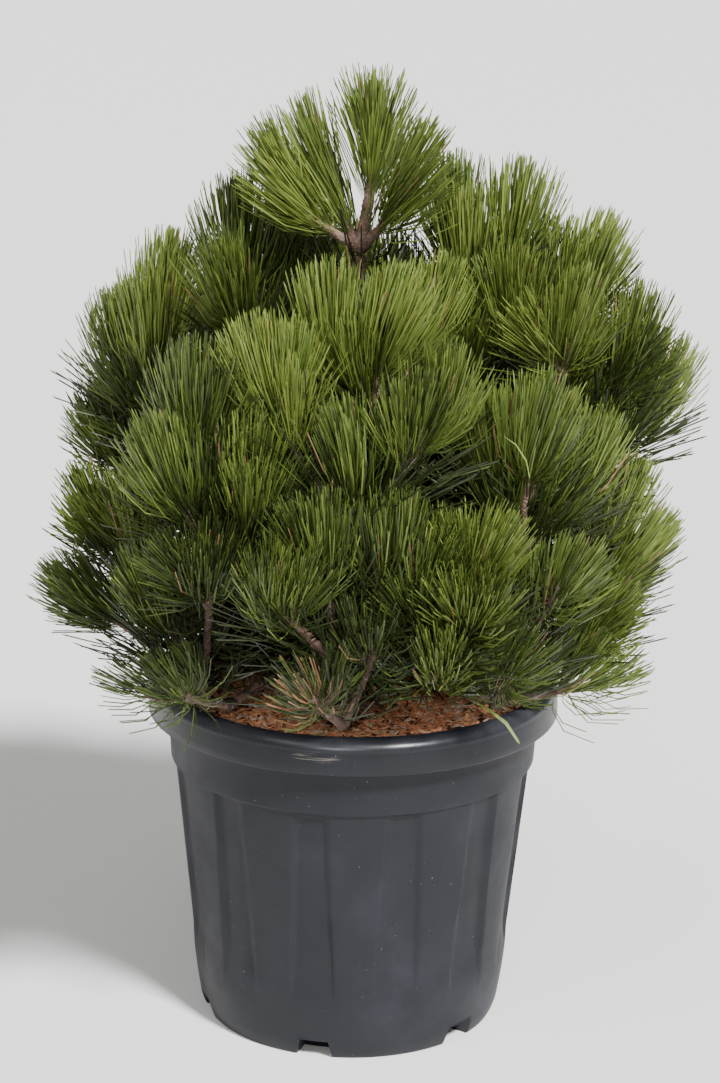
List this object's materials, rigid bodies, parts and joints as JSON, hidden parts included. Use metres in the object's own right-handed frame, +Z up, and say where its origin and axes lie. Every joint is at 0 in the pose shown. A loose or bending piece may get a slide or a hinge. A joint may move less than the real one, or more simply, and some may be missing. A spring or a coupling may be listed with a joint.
{
  "type": "potted compact Bosnian pine",
  "caption": "Dense dwarf pine whose boughs sweep up into tufts of long stiff needles, in a round fluted nursery pot with a turned-over rim, to stand on a floor or terrace.",
  "frame": {"origin": "on the pot's axis, in the plane of its flat underside", "axes": "+Z up, -Y towards the front of the plant, +X to its right seen from the front"},
  "size_m": [0.6707, 0.6484, 0.9631],
  "materials": {
    "pot_plastic": "charcoal plastic with a satin sheen, fine scuffs and dust",
    "mulch": "shredded bark mulch, rough and matt, over potting mix",
    "bark": "rough scaly bark, matt",
    "needles": "stiff needles with a faint waxy sheen"
  },
  "bodies": {
    "root": {"pot": "pot_plastic", "soil": "mulch", "trunk": "bark", "bough_upper_left": "bark", "bough_left_upper": "bark", "bough_left_mid": "bark", "bough_left_back": "bark", "bough_centre": "bark", "bough_centre_up": "bark", "bough_right_top": "bark", "bough_right_up": "bark", "bough_right": "bark", "bough_right_mid": "bark", "bough_right_low": "bark", "bough_front_low": "bark", "bough_left_low": "bark", "bough_front_bottom": "bark", "bough_front_right": "bark", "bough_low_right": "bark", "bough_low_left": "bark", "bough_back_left_mid": "bark", "bough_back_centre": "bark", "bough_back_centre_up": "bark", "bough_back_right_mid": "bark", "bough_back_front_low": "bark", "bough_back_left_low": "bark", "bough_back_front_bottom": "bark", "bough_back_front_right": "bark", "bough_back_low_right": "bark", "bough_back_low_left": "bark", "needles_top": "needles", "needles_upper_left": "needles", "needles_left_upper": "needles", "needles_left_mid": "needles", "needles_left_back": "needles", "needles_centre": "needles", "needles_centre_up": "needles", "needles_right_top": "needles", "needles_right_up": "needles", "needles_right": "needles", "needles_right_mid": "needles", "needles_right_low": "needles", "needles_front_low": "needles", "needles_left_low": "needles", "needles_front_bottom": "needles", "needles_front_right": "needles", "needles_low_right": "needles", "needles_low_left": "needles", "needles_back_left_mid": "needles", "needles_back_centre": "needles", "needles_back_centre_up": "needles", "needles_back_right_mid": "needles", "needles_back_front_low": "needles", "needles_back_left_low": "needles", "needles_back_front_bottom": "needles", "needles_back_front_right": "needles", "needles_back_low_right": "needles", "needles_back_low_left": "needles"}
  },
  "joints": []
}
